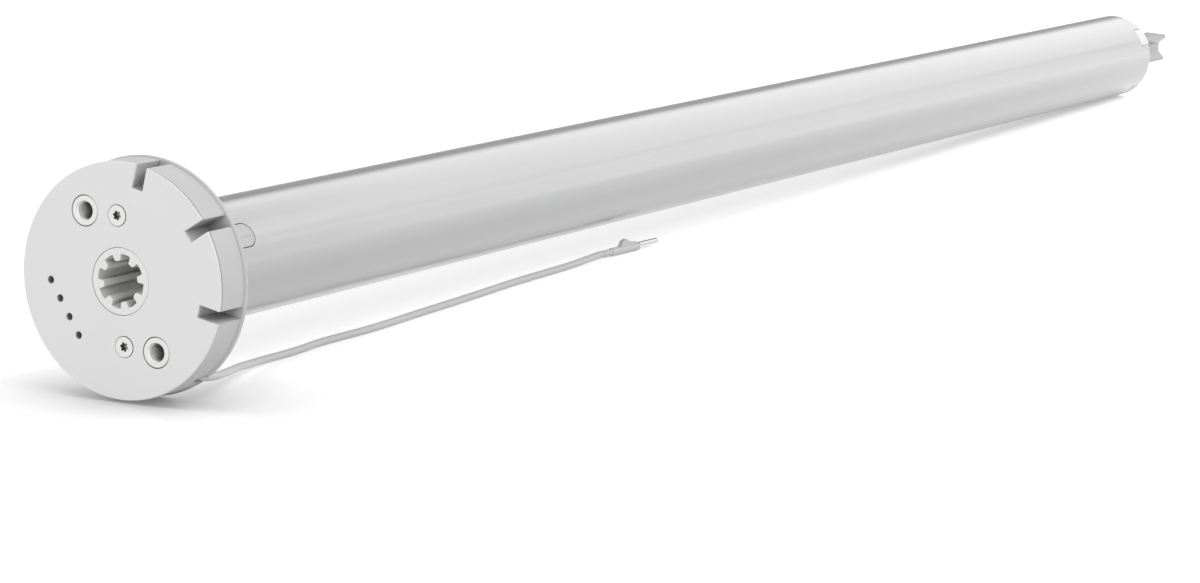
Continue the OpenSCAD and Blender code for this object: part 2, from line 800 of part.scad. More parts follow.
module front_bearing() {
    color("silver") axial(can_x1 - ball_bearing_w) ball_bearing();
}

module rear_bearing() {
    color("silver") axial(can_x0) ball_bearing();
}

module motor_can() {
    color("gray") axial(can_x0) ring(seat_r, can_ir, can_len);
}

// Stator lamination: yoke, teeth and their shoes
module stator_section() {
    pitch = 360 / stator_teeth;
    shoe = pitch - shoe_gap_turn;
    difference() {
        circle(r = stator_or);
        circle(r = stator_or - yoke_t);
    }
    for (i = [0 : stator_teeth - 1]) rotate([0, 0, i * pitch]) {
        intersection() {
            difference() {
                circle(r = stator_or - yoke_t / 2);
                circle(r = stator_ir);
            }
            translate([0, -tooth_w / 2]) square([stator_or, tooth_w]);
        }
        intersection() {
            difference() {
                circle(r = stator_ir + shoe_t);
                circle(r = stator_ir);
            }
            polygon([[0, 0], 2 * polar(stator_or, -shoe / 2), 2 * polar(stator_or, shoe / 2)]);
        }
    }
}

module stator_core() {
    color("steelblue") axial(stator_x0) linear_extrude(stator_len) stator_section();
}

// One coil round each tooth, with its ends past the core
module stator_windings() {
    in_r = stator_ir + shoe_t + seat_gap;
    out_r = sqrt((stator_or - yoke_t) * (stator_or - yoke_t) - pow(tooth_w / 2 + winding_t, 2)) - seat_gap;
    hole_w = tooth_w + 2 * seat_gap;
    hole_len = stator_len + 2 * seat_gap;
    out_w = tooth_w + 2 * winding_t;
    color("chocolate") axial(stator_x0) for (i = [0 : stator_teeth - 1]) rotate([0, 0, i * 360 / stator_teeth])
        difference() {
            translate([in_r, -out_w / 2, -winding_out]) cube([out_r - in_r, out_w, stator_len + 2 * winding_out]);
            translate([in_r - cut, -hole_w / 2, -seat_gap]) cube([out_r - in_r + 2 * cut, hole_w, hole_len]);
        }
}

module rotor_shaft() {
    color("silver") axial() {
        translate([0, 0, rotor_x0]) cylinder(d = rotor_shaft_d, h = planet_1_x0 - rotor_x0 + cut);
        translate([0, 0, planet_1_x0]) outer_gear(sun_teeth, rotor_x1 - planet_1_x0);
    }
}

module rotor_core() {
    color("gray") axial(stator_x0) ring(rotor_d / 2 - magnet_t, rotor_shaft_d / 2 + seat_gap / 2, stator_len);
}

module rotor_magnets() {
    pitch = 360 / pole_count;
    span = pitch - pole_gap_turn;
    color("dimgray") axial(stator_x0) linear_extrude(stator_len) for (i = [0 : pole_count - 1])
        rotate([0, 0, i * pitch]) intersection() {
            difference() {
                circle(d = rotor_d);
                circle(r = rotor_d / 2 - magnet_t + seat_gap / 2);
            }
            polygon([[0, 0], polar(rotor_d, -span / 2), polar(rotor_d, span / 2)]);
        }
}

module brake_disc() {
    color("darkolivegreen") axial(disc_x0) ring(disc_d / 2, rotor_shaft_d / 2 + seat_gap / 2, disc_t);
}

module encoder_magnet() {
    color("black") axial(rotor_x0) ring(encoder_d / 2, rotor_shaft_d / 2 + seat_gap / 2, encoder_t);
}

// Magnet body with the coil's groove, the spring's pocket and a skirt round armature and disc
module brake_housing() {
    color("dimgray") axial() difference() {
        translate([0, 0, brake_x0]) cylinder(r = seat_r, h = shield_x0 - brake_x0);
        translate([0, 0, brake_face_x]) cylinder(r = skirt_r, h = shield_x0);
        translate([0, 0, brake_face_x - coil_len]) ring(coil_or + seat_gap, coil_ir - seat_gap, coil_len + cut);
        translate([0, 0, spring_x0]) cylinder(r = spring_pocket_r, h = brake_len);
        translate([0, 0, brake_x0 - cut]) cylinder(r = shaft_hole_r, h = brake_len);
        for (i = [0 : guide_count - 1]) rotate([0, 0, i * 360 / guide_count])
            translate([guide_r, 0, brake_face_x - guide_depth])
                cylinder(d = guide_pin_d + seat_gap, h = guide_depth + cut);
    }
}

module brake_coil() {
    color("chocolate") axial(brake_face_x - coil_len) ring(coil_or, coil_ir, coil_len - seat_gap);
}

module brake_guide_pins() {
    from = brake_face_x - guide_depth;
    color("silver") axial(from) for (i = [0 : guide_count - 1]) rotate([0, 0, i * 360 / guide_count])
        translate([guide_r, 0, 0]) cylinder(d = guide_pin_d, h = shield_x0 - from);
}

module brake_armature() {
    color("gray") axial(armature_x0) difference() {
        ring(armature_r, shaft_hole_r, armature_t);
        for (i = [0 : guide_count - 1]) rotate([0, 0, i * 360 / guide_count]) translate([guide_r, 0, -cut])
            cylinder(d = guide_pin_d + 2 * seat_gap, h = armature_t + 2 * cut);
    }
}

// Sweep of a round section along points, with its sides kept level
function unit(v) = v / norm(v);
function along(path, i) =
    unit(path[min(i + 1, len(path) - 1)] - path[max(i - 1, 0)]);
function section(path, i, r, sides) =
    let (t = along(path, i), side = unit(cross(t, [0, 0, 1])), up = cross(side, t))
    [for (k = [0 : sides - 1]) path[i] + r * (cos(k * 360 / sides) * side + sin(k * 360 / sides) * up)];
module swept(path, r, sides) {
    n = len(path);
    points = [for (i = [0 : n - 1]) each section(path, i, r, sides)];
    walls = [for (i = [0 : n - 2], k = [0 : sides - 1])
        let (a = i * sides + k, b = i * sides + (k + 1) % sides)
        each [[a, b, b + sides], [a, b + sides, a + sides]]];
    first = [for (k = [sides - 1 : -1 : 0]) k];
    last = [for (k = [0 : sides - 1]) (n - 1) * sides + k];
    polyhedron(points, concat(walls, [first, last]));
}

// Coil spring between the magnet body and the armature
module brake_spring() {
    r = spring_wire_d / 2;
    steps = 12;
    n = spring_turns * steps;
    rise = spring_len - spring_wire_d - 2 * seat_gap;
    path = [for (i = [0 : n])
        [spring_mean_r * cos(i * 360 / steps), spring_mean_r * sin(i * 360 / steps), r + seat_gap + rise * i / n]];
    color("silver") axial(spring_x0) swept(path, r, 6);
}

module sensor_board() {
    color("darkgreen") axial() {
        translate([0, 0, sensor_x0]) cylinder(r = shell_ir - seat_gap, h = board_t);
        translate([-sensor_chip[0] / 2, -sensor_chip[1] / 2, sensor_x1 - seat_gap]) cube(sensor_chip);
    }
}

// Lower part of a round, below a seat height
module lower_round(r, seat) {
    intersection() {
        circle(r = r);
        translate([-r, -r]) square([2 * r, r + seat]);
    }
}

// Thin half shell from a start to an end, below a seat height
module half_shell(x0, x1, seat) {
    translate([0, 0, x0]) linear_extrude(x1 - x0) difference() {
        lower_round(seat_r, seat);
        circle(r = shell_ir);
    }
}

// Cradle: a half shell with end plates, saddles under the cells and a skirt that reaches to the brake
module cell_cradle() {
    color("darkslategray") axial() {
        half_shell(cradle_x0, cradle_x1, 0);
        for (i = [0 : cell_count - 1], f = saddle_places)
            translate([0, 0, cells_x0 + i * (cell_len + cell_gap) + f * cell_len - saddle_t / 2])
                linear_extrude(saddle_t) difference() {
                    lower_round(seat_r - shell_wall / 2, -cell_drop);
                    translate([0, -cell_drop]) circle(d = cell_d + 2 * seat_gap);
                }
        for (x = [cradle_x0, cradle_x1 - cradle_plate_t]) translate([0, 0, x])
            ring(seat_r, wire_hole_r, cradle_plate_t);
        translate([0, 0, cradle_x1 - cut]) ring(seat_r, shell_ir, brake_x0 - cradle_x1 + cut);
    }
}

// Cells in line, each with its raised contact
module cells() {
    body = cell_len - cell_nub_h;
    color("teal") axial() for (i = [0 : cell_count - 1])
        translate([0, -cell_drop, cells_x0 + i * (cell_len + cell_gap)])
            turned([
                [0, 0], [cell_d / 2 - edge, 0], [cell_d / 2, edge], [cell_d / 2, body - 1], [cell_d / 2 - 1, body],
                [cell_nub_d / 2, body], [cell_nub_d / 2, cell_len], [0, cell_len]
            ]);
}

// Tray: a half shell with a ring at each end and two rails under the board
module electronics_tray() {
    color("darkslategray") axial(turn = gland_turn - 90) {
        half_shell(tray_x0, tray_x1, tray_seat + board_t);
        translate([0, 0, tray_x0]) linear_extrude(tray_x1 - tray_x0) difference() {
            lower_round(seat_r - shell_wall / 2, tray_seat);
            translate([-seat_r, -seat_r]) square([2 * seat_r, seat_r + tray_seat - rail_h]);
            translate([-rail_in, -seat_r]) square([2 * rail_in, 2 * seat_r]);
        }
        for (x = [tray_x0, tray_x1 - tray_ring_t]) translate([0, 0, x]) ring(seat_r, lead_r + 2, tray_ring_t);
    }
}

// Board with its terminal for the lead and its larger parts
module control_board() {
    terminal_h = lead_r + inner_lead_d - board_top;
    color("darkgreen") axial(turn = gland_turn - 90) {
        translate([-board_w / 2, tray_seat, board_x0]) cube([board_w, board_t, board_x1 - board_x0]);
        translate([-terminal_w / 2, board_top - seat_gap, board_x0 + cut])
            cube([terminal_w, terminal_h, terminal_len]);
        for (b = board_blocks) translate([b[1] - b[3] / 2, board_top - seat_gap, board_x0 + b[0]])
            cube([b[3], b[4] + seat_gap, b[2]]);
    }
}

module bulk_capacitors() {
    color("midnightblue") axial(turn = gland_turn - 90) for (x = capacitor_places)
        translate([0, board_top, board_x0 + x]) rotate([-90, 0, 0]) cylinder(d = capacitor_d, h = capacitor_h);
}

module head_damper() {
    color("black") axial(spigot_x1) ring(seat_r, lead_r + 2, damper_t);
}

// Points of the lead: out of its hole in the rim, over the lip and along the floor to the connector
function floor_z(x) = (x - head_depth) * floor_rise - lip_r;
function rim_point(p) = [p[0], p[1] * cos(gland_turn), p[1] * sin(gland_turn)];
function exit_points() = [for (a = [0 : exit_step : 90])
    rim_point([gland_x + exit_bend_r * (1 - cos(a)), groove_r + exit_straight + exit_bend_r * sin(a)])];
function plug_dir() = unit([cos(plug_yaw), sin(plug_yaw), floor_rise * cos(plug_yaw)]);
function plug_point() = [plug_start[0], plug_start[1], floor_z(plug_start[0]) + plug_start[2]];
function lead_points() = concat(
    exit_points(),
    [for (p = lead_route) [p[0], p[1], floor_z(p[0]) + p[2]]],
    [plug_point() - 8 * plug_dir(), plug_point() - 4 * plug_dir(), plug_point()]
);

// Smooth curve through points
function curve_point(p, i, t) =
    let (a = p[max(i - 1, 0)], b = p[i], c = p[i + 1], d = p[min(i + 2, len(p) - 1)])
    0.5 * (2 * b + t * (c - a) + t * t * (2 * a - 5 * b + 4 * c - d) + t * t * t * (3 * b - a - 3 * c + d));
function smooth(p, steps) = concat(
    [for (i = [0 : len(p) - 2], k = [0 : steps - 1]) curve_point(p, i, k / steps)], [p[len(p) - 1]]
);

module supply_lead() {
    path = concat([rim_point([gland_x, groove_r])], smooth(lead_points(), lead_steps));
    color("gainsboro") swept(path, lead_d / 2, lead_sides);
}

// Frame of the connector, along Z from the end of the lead, with its back up
module plug_frame() {
    translate(plug_point()) rotate([0, 0, plug_yaw]) rotate([0, 90 - atan(floor_rise), 0])
        rotate([0, 0, 180]) children();
}

module connector_barrel() {
    c = 0.4;
    r = plug_d / 2;
    color("gainsboro") plug_frame() difference() {
        turned([
            [0, 0], [lead_d / 2 + 0.1, 0], [r, c], [r, plug_len - 2 * c], [r - c, plug_len - c / 2],
            [r - 2 * c, plug_len], [0, plug_len]
        ]);
        translate([r - latch_foot - seat_gap, -latch_w / 2 - seat_gap, latch_off - seat_gap])
            cube([r, latch_w + 2 * seat_gap, latch_len + 2 * seat_gap]);
    }
}

// Thumb latch: a domed hump on the barrel's back that runs out towards the contact pin
module connector_latch() {
    dome = arc([latch_foot + latch_h - latch_dome_r, latch_dome_r], latch_dome_r, latch_turns[0], latch_turns[1], 8);
    color("gainsboro") plug_frame() translate([plug_d / 2 - latch_foot, latch_w / 2, latch_off]) rotate([90, 0, 0])
        linear_extrude(latch_w)
            polygon(concat([[0, 0]], dome, [[latch_foot + edge, latch_len], [0, latch_len]]));
}

module contact_pin() {
    tip = 0.5;
    r = contact_d / 2;
    color("silver") plug_frame() translate([contact_lift, 0, plug_len])
        turned([[0, 0], [r, 0], [r, contact_len - tip], [r - tip, contact_len], [0, contact_len]]);
}

face_plate();
head_body();
socket_insert();
threaded_bushes();
face_screws();
cable_gland();
motor_tube();
end_cap();
output_bearing();
thrust_washer();
ring_gear();
front_shield();
front_bearing();
motor_can();
stator_core();
stator_windings();
rear_shield();
rear_bearing();
brake_housing();
brake_coil();
brake_guide_pins();
sensor_board();
cell_cradle();
cells();
electronics_tray();
control_board();
bulk_capacitors();
head_damper();
inner_lead();
output_shaft();
output_carrier();
retaining_ring();
for (s = [0 : 2]) {
    planet_pins(s);
    for (k = [0 : 2]) planet(s, k);
}
carrier(0);  // carrier_1
carrier(1);  // carrier_2
rotor_shaft();
rotor_core();
rotor_magnets();
brake_disc();
encoder_magnet();
brake_armature();
brake_spring();
supply_lead();
connector_barrel();
connector_latch();
contact_pin();
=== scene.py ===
"""Looks of a tubular roller blind motor: its finishes, lead, threads, studio and camera."""
import json
import logging
import math
from dataclasses import dataclass, field
from enum import Enum

import bpy
from mathutils import Matrix, Vector


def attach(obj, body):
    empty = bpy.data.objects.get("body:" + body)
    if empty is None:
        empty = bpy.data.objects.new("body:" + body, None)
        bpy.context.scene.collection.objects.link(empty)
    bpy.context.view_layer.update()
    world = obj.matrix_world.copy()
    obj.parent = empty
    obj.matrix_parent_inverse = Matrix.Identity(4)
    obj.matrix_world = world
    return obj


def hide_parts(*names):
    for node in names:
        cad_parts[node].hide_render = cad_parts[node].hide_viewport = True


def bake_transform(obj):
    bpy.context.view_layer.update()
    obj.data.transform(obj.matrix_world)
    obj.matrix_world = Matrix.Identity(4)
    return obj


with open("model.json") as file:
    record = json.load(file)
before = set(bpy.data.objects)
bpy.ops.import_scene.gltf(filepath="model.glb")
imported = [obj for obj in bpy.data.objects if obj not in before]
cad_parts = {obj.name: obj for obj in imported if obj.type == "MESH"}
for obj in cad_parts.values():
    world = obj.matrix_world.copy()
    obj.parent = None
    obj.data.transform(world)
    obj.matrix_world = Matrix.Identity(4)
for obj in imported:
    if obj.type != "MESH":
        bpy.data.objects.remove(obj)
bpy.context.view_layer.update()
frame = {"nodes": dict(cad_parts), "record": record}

LOG = logging.getLogger("blind_motor")
MM = 0.001
WAVE_PERIOD = math.tau / 20
WAVE_WANDER = 0.6
DRAWN_STRETCH = 0.004
SKY_SAMPLES = 8
CLOSED_SKY = 0.1
WELD_MM = 0.002
FLAT_DEGREES = 0.5
SHARP_DEGREES = 35.0
EDGE_STEPS = 2
RGBA = tuple[float, float, float, float]
Point = tuple[float, float, float]


def linear(hex_colour: str) -> RGBA:
    """Turns an sRGB hex colour into linear light.

    Args:
        hex_colour: Six hex digits, such as "C8C8C8".

    Returns:
        Linear red, green and blue, and an alpha of 1.
    """
    parts = [int(hex_colour[i:i + 2], 16) / 255 for i in (0, 2, 4)]
    light = [p / 12.92 if p <= 0.04045 else ((p + 0.055) / 1.055) ** 2.4 for p in parts]
    return (*light, 1.0)


def add_node(tree: bpy.types.NodeTree, kind: str, settings: dict,
             links: dict | None = None) -> bpy.types.Node:
    """Adds one node with its settings and links.

    Args:
        tree: The node tree that takes the node.
        kind: The node's type name.
        settings: Values by attribute name, or by input socket name or index.
        links: Output sockets by the name or index of the input that they feed.

    Returns:
        The new node.
    """
    node = tree.nodes.new(kind)
    for key, value in settings.items():
        if isinstance(key, str) and hasattr(node, key):
            setattr(node, key, value)
        else:
            node.inputs[key].default_value = value
    for key, socket in (links or {}).items():
        tree.links.new(socket, node.inputs[key])
    return node


class Pattern(Enum):
    """Relief that a way of making leaves on a surface."""

    GRAIN = "fine irregular grain of a moulded or blasted face"
    DRAWN = "long fine lines along the motor axis"
    TURNED = "rings about the axis"
    STACKED = "bands across the axis"
    CAST = "uneven skin of a casting or a sintered piece"
    CHIPPED = "small chips set in a binder"


@dataclass(frozen=True)
class Finish:
    """One real material with the surface that its making left, and shade painted into its narrow hollows
    where set.

    Attributes:
        name: Common name of the material and its process.
        colour: Main colour as sRGB hex.
        shade: Colour of its hollows and darker patches as sRGB hex.
        pattern: Kind of relief.
        size_mm: Spacing of the relief.
        depth_mm: Height of the relief.
        roughness: Mean roughness.
        spread: How far the roughness wanders to each side.
        hollow: Share of the shade that lies in the hollows of the relief, and not in patches.
        metallic: 1 for a bare metal.
        ior: Index of refraction, which a metal leaves at its default.
        patch_mm: Size of the slow patches.
        painted_hollow_shade: Share of the colour that is left where shade is painted into narrow hollows; 1
            paints none.
        reach_mm: Distance over which a hollow counts as narrow for the painted shade.
        open_from: Share of open sky from which a place counts as open and gets no painted shade.
    """

    name: str
    colour: str
    shade: str
    pattern: Pattern
    size_mm: float
    depth_mm: float
    roughness: float
    spread: float = 0.04
    hollow: float = 0.5
    metallic: float = 0.0
    ior: float = 1.5
    patch_mm: float = 18.0
    painted_hollow_shade: float = 1.0
    reach_mm: float = 7.0
    open_from: float = 0.5

    def relief(self, tree: bpy.types.NodeTree, place: bpy.types.NodeSocket) -> bpy.types.NodeSocket:
        """Draws the relief as a height from 0 to 1.

        Args:
            tree: The material's node tree.
            place: Place on the piece, in metres.

        Returns:
            The socket that gives the height.
        """
        per_metre = 1 / (self.size_mm * MM)
        if self.pattern in (Pattern.TURNED, Pattern.STACKED):
            rings = self.pattern is Pattern.TURNED
            settings = {"wave_type": "RINGS" if rings else "BANDS", "Scale": WAVE_PERIOD * per_metre,
                        "Distortion": WAVE_WANDER, "Detail": 1.0}
            return add_node(tree, "ShaderNodeTexWave", settings, {"Vector": place}).outputs["Fac"]
        if self.pattern is Pattern.CHIPPED:
            chips = add_node(tree, "ShaderNodeTexVoronoi", {"Scale": per_metre}, {"Vector": place})
            return chips.outputs["Distance"]
        if self.pattern is Pattern.DRAWN:
            drawn = add_node(tree, "ShaderNodeMapping", {"Scale": (DRAWN_STRETCH, 1, 1)}, {"Vector": place})
            place = drawn.outputs[0]
        detail = 5.0 if self.pattern is Pattern.CAST else 2.0
        noise = add_node(tree, "ShaderNodeTexNoise", {"Scale": per_metre, "Detail": detail},
                         {"Vector": place})
        return noise.outputs["Fac"]

    def paint_hollow_shade(self, tree: bpy.types.NodeTree, colour: bpy.types.NodeSocket) -> bpy.types.NodeSocket:
        """Paints shade into a colour in narrow hollows: the less open sky a place sees, the nearer to black.

        Args:
            tree: The material's node tree.
            colour: The colour in the open.

        Returns:
            The socket that gives the darkened colour.
        """
        open_sky = add_node(tree, "ShaderNodeAmbientOcclusion",
                            {"samples": SKY_SAMPLES, "Distance": self.reach_mm * MM})
        left = add_node(tree, "ShaderNodeMapRange",
                        {1: CLOSED_SKY, 2: self.open_from, 3: self.painted_hollow_shade, 4: 1.0},
                        {0: open_sky.outputs["AO"]})
        mixed = add_node(tree, "ShaderNodeMix", {"data_type": "RGBA", 6: linear("000000")},
                         {0: left.outputs[0], 7: colour})
        return mixed.outputs[2]

    def material(self) -> bpy.types.Material:
        """Makes the material, or finds it if it is there already.

        Returns:
            The material.
        """
        made = bpy.data.materials.get(self.name)
        if made:
            return made
        made = bpy.data.materials.new(self.name)
        made.use_nodes = True
        tree = made.node_tree
        tree.nodes.clear()
        place = add_node(tree, "ShaderNodeTexCoord", {}).outputs["Object"]
        height = self.relief(tree, place)
        patches = add_node(tree, "ShaderNodeTexNoise", {"Scale": 1 / (self.patch_mm * MM), "Detail": 3.0},
                           {"Vector": place}).outputs["Fac"]
        depth = add_node(tree, "ShaderNodeMath", {"operation": "SUBTRACT", 0: 1.0}, {1: height}).outputs[0]
        share = add_node(tree, "ShaderNodeMix", {"data_type": "FLOAT", 0: self.hollow},
                         {2: patches, 3: depth})
        tint = add_node(tree, "ShaderNodeMix",
                        {"data_type": "RGBA", 6: linear(self.colour), 7: linear(self.shade)},
                        {0: share.outputs[0]})
        colour = tint.outputs[2]
        # Painted shade: in narrow hollows the colour falls towards black
        if self.painted_hollow_shade < 1:
            colour = self.paint_hollow_shade(tree, colour)
        rough = add_node(tree, "ShaderNodeMapRange",
                         {3: self.roughness - self.spread, 4: self.roughness + self.spread}, {0: patches})
        bump = add_node(tree, "ShaderNodeBump", {"Strength": 1.0, "Distance": self.depth_mm * MM},
                        {"Height": height})
        shader = add_node(tree, "ShaderNodeBsdfPrincipled", {"Metallic": self.metallic, "IOR": self.ior},
                          {"Base Color": colour, "Roughness": rough.outputs[0], "Normal": bump.outputs[0]})
        add_node(tree, "ShaderNodeOutputMaterial", {}, {"Surface": shader.outputs[0]})
        return made


FINISHES: dict[str, Finish] = {
    # Eroded tool grain spreads the light, so the face is a soft even satin; shade is painted into its holes
    # and recesses
    "head_face": Finish("abs_eroded_light_grey", "EDEDED", "E7E7E7", Pattern.GRAIN, 0.5, 0.01, 0.5,
                        ior=1.53, painted_hollow_shade=0.5),
    # The same plastic in a plainer tool: a little darker and smoother, with shade painted into its notches
    # and holes
    "head_body": Finish("abs_moulded_light_grey", "C8C8C8", "C3C3C3", Pattern.GRAIN, 0.8, 0.008, 0.45,
                        ior=1.53, painted_hollow_shade=0.5),
    # Acetal is waxy and slightly brighter than the head round it; deep shade is painted into its splined
    # hollow
    "socket": Finish("acetal_moulded_natural", "F2F2F1", "EBEBEA", Pattern.GRAIN, 0.9, 0.006, 0.38,
                     ior=1.48, painted_hollow_shade=0.06),
    # Nickel over a turned face: pale, warm and softly shiny; deep shade is painted into the threaded hole
    "bush_steel": Finish("steel_turned_nickel_plated", "D2D2D1", "C8C8C6", Pattern.GRAIN, 0.35, 0.004, 0.36,
                         metallic=1.0, painted_hollow_shade=0.05, reach_mm=5.0, open_from=0.9),
    # Zinc leaves a pale, slightly cloudy metal; deep shade is painted into the drive recess
    "screw_steel": Finish("steel_headed_zinc_plated", "D2D2D1", "C6C6C4", Pattern.CAST, 0.8, 0.004, 0.34,
                          metallic=1.0, painted_hollow_shade=0.02, reach_mm=2.0, open_from=0.9),
    # Soft rubber swallows the light
    "gland_rubber": Finish("rubber_moulded_black", "262626", "1C1C1C", Pattern.GRAIN, 0.4, 0.01, 0.7,
                           ior=1.52),
    # Satin anodising over drawing lines: a broad soft highlight along the tube
    "tube_aluminium": Finish("aluminium_drawn_satin_anodised", "A6A6A7", "A1A1A2", Pattern.DRAWN, 0.6,
                             0.0012, 0.22, spread=0.02, hollow=0.6, metallic=1.0, patch_mm=60.0),
    # White plastic with soft moulded edges
    "cap_plastic": Finish("polyamide_moulded_white", "D9D9D9", "D2D2D2", Pattern.GRAIN, 0.7, 0.008, 0.45,
                          ior=1.53),
    # Open pores make the bronze dull and speckled
    "bearing_bronze": Finish("bronze_sintered_oiled", "A9794E", "8A5F3A", Pattern.CAST, 0.5, 0.02, 0.45,
                             metallic=1.0),
    # Stamped sheet stays bright and flat
    "washer_brass": Finish("brass_stamped", "C9A860", "B89550", Pattern.DRAWN, 0.3, 0.004, 0.32,
                           metallic=1.0),
    # Broaching leaves fine lines along the teeth
    "ring_steel": Finish("steel_broached", "A2A2A4", "88888B", Pattern.DRAWN, 0.3, 0.006, 0.35,
                         metallic=1.0),
    # Die casting has a grey, finely pitted skin
    "shield_alloy": Finish("zinc_alloy_die_cast", "B0B2B6", "979A9F", Pattern.CAST, 1.2, 0.02, 0.42,
                           metallic=1.0),
    # Ground rings shine almost like a mirror
    "bearing_steel": Finish("bearing_steel_ground", "D6D6D7", "C4C4C6", Pattern.TURNED, 0.25, 0.001, 0.15,
                            spread=0.02, metallic=1.0),
    # Deep drawing leaves long faint streaks
    "can_steel": Finish("steel_deep_drawn_zinc_plated", "A9AAAD", "95969A", Pattern.DRAWN, 0.5, 0.004, 0.32,
                        metallic=1.0),
    # Stacked sheets show as fine dark bands
    "core_steel": Finish("electrical_steel_stacked", "6C7078", "3F434B", Pattern.STACKED, 1.0, 0.03, 0.45,
                         hollow=0.9, metallic=1.0),
    # Enamelled wire lies in tight, glossy turns
    "copper_wire": Finish("copper_wire_enamelled", "B86A35", "6E3715", Pattern.STACKED, 0.7, 0.15, 0.28,
                          hollow=0.9, metallic=1.0),
    # Phosphate is a dark matt coat
    "brake_steel": Finish("steel_turned_phosphated", "5C5C5E", "48484A", Pattern.TURNED, 0.5, 0.006, 0.55,
                          metallic=1.0),
    # Centreless grinding gives a clean, bright round bar
    "pin_steel": Finish("steel_ground_hardened", "C6C6C6", "B4B4B5", Pattern.DRAWN, 0.2, 0.001, 0.2,
                        metallic=1.0),
    # Solder resist is glossy green over the faint weave
    "board_laminate": Finish("glass_laminate_solder_resist", "17553A", "0F4029", Pattern.CHIPPED, 0.9,
                             0.01, 0.3, ior=1.55),
    # Dark glass-filled plastic looks slightly mottled
    "inner_plastic": Finish("polyamide_glass_filled_dark", "3A3C3E", "2E3032", Pattern.GRAIN, 0.8, 0.012,
                            0.5, ior=1.53),
    # Shrink film is smooth and shiny
    "cell_sleeve": Finish("pvc_shrink_sleeve_teal", "2C7F86", "24696F", Pattern.GRAIN, 6.0, 0.03, 0.25,
                          ior=1.54),
    # The same film in dark blue
    "capacitor_can": Finish("pvc_shrink_sleeve_blue", "2A3058", "222748", Pattern.GRAIN, 4.0, 0.02, 0.25,
                            ior=1.54),
    # Black rubber with a dry bloom
    "damper_rubber": Finish("rubber_moulded_soft", "2A2A2A", "202020", Pattern.GRAIN, 0.6, 0.015, 0.75,
                            ior=1.52),
    # Extruded soft PVC: pale grey with a waxy gloss
    "lead_sheath": Finish("pvc_extruded_light_grey", "CCCCCC", "C2C2C2", Pattern.DRAWN, 0.8, 0.004, 0.42,
                          ior=1.54),
    # Sintered steel is pale and slightly porous
    "shaft_steel": Finish("steel_sintered_steam_treated", "9C9C9C", "8E8E8E", Pattern.CAST, 0.6, 0.008, 0.4,
                          metallic=1.0),
    # The carriers are the same, but oiled and darker
    "carrier_steel": Finish("steel_sintered_oiled", "94969A", "7C7E83", Pattern.CAST, 0.7, 0.01, 0.4,
                            metallic=1.0),
    # Spring wire has a thin dark film of oil
    "spring_steel": Finish("spring_steel_oiled", "8A8A8C", "707072", Pattern.DRAWN, 0.3, 0.003, 0.32,
                           metallic=1.0),
    # Sintered ferrite is almost black
    "magnet": Finish("ferrite_sintered", "3A3A3D", "2C2C2F", Pattern.CAST, 0.6, 0.015, 0.5, metallic=1.0),
    # Chips of brass and fibre show in the pressed lining
    "friction_lining": Finish("brake_lining_pressed", "5E584A", "423D33", Pattern.CHIPPED, 1.2, 0.03, 0.7,
                              ior=1.5),
    # Natural acetal gears are creamy and waxy
    "gear_plastic": Finish("acetal_moulded_cream", "E8E0CA", "DCD2B8", Pattern.GRAIN, 0.7, 0.006, 0.38,
                           ior=1.48),
    # Sintered gears with teeth polished by running in
    "gear_steel": Finish("steel_sintered_run_in", "A8A8AA", "8E8E91", Pattern.CAST, 0.5, 0.008, 0.33,
                         metallic=1.0),
    # Small moulding, smoother than the sheath
    "connector_plastic": Finish("polyamide_moulded_light_grey", "CFCFCF", "C6C6C6", Pattern.GRAIN, 0.5,
                                0.006, 0.42, ior=1.53),
    # Plated contact, bright but fine
    "contact_metal": Finish("brass_drawn_tin_plated", "CDCDCB", "BDBDBB", Pattern.DRAWN, 0.2, 0.002, 0.24,
                            metallic=1.0),
}


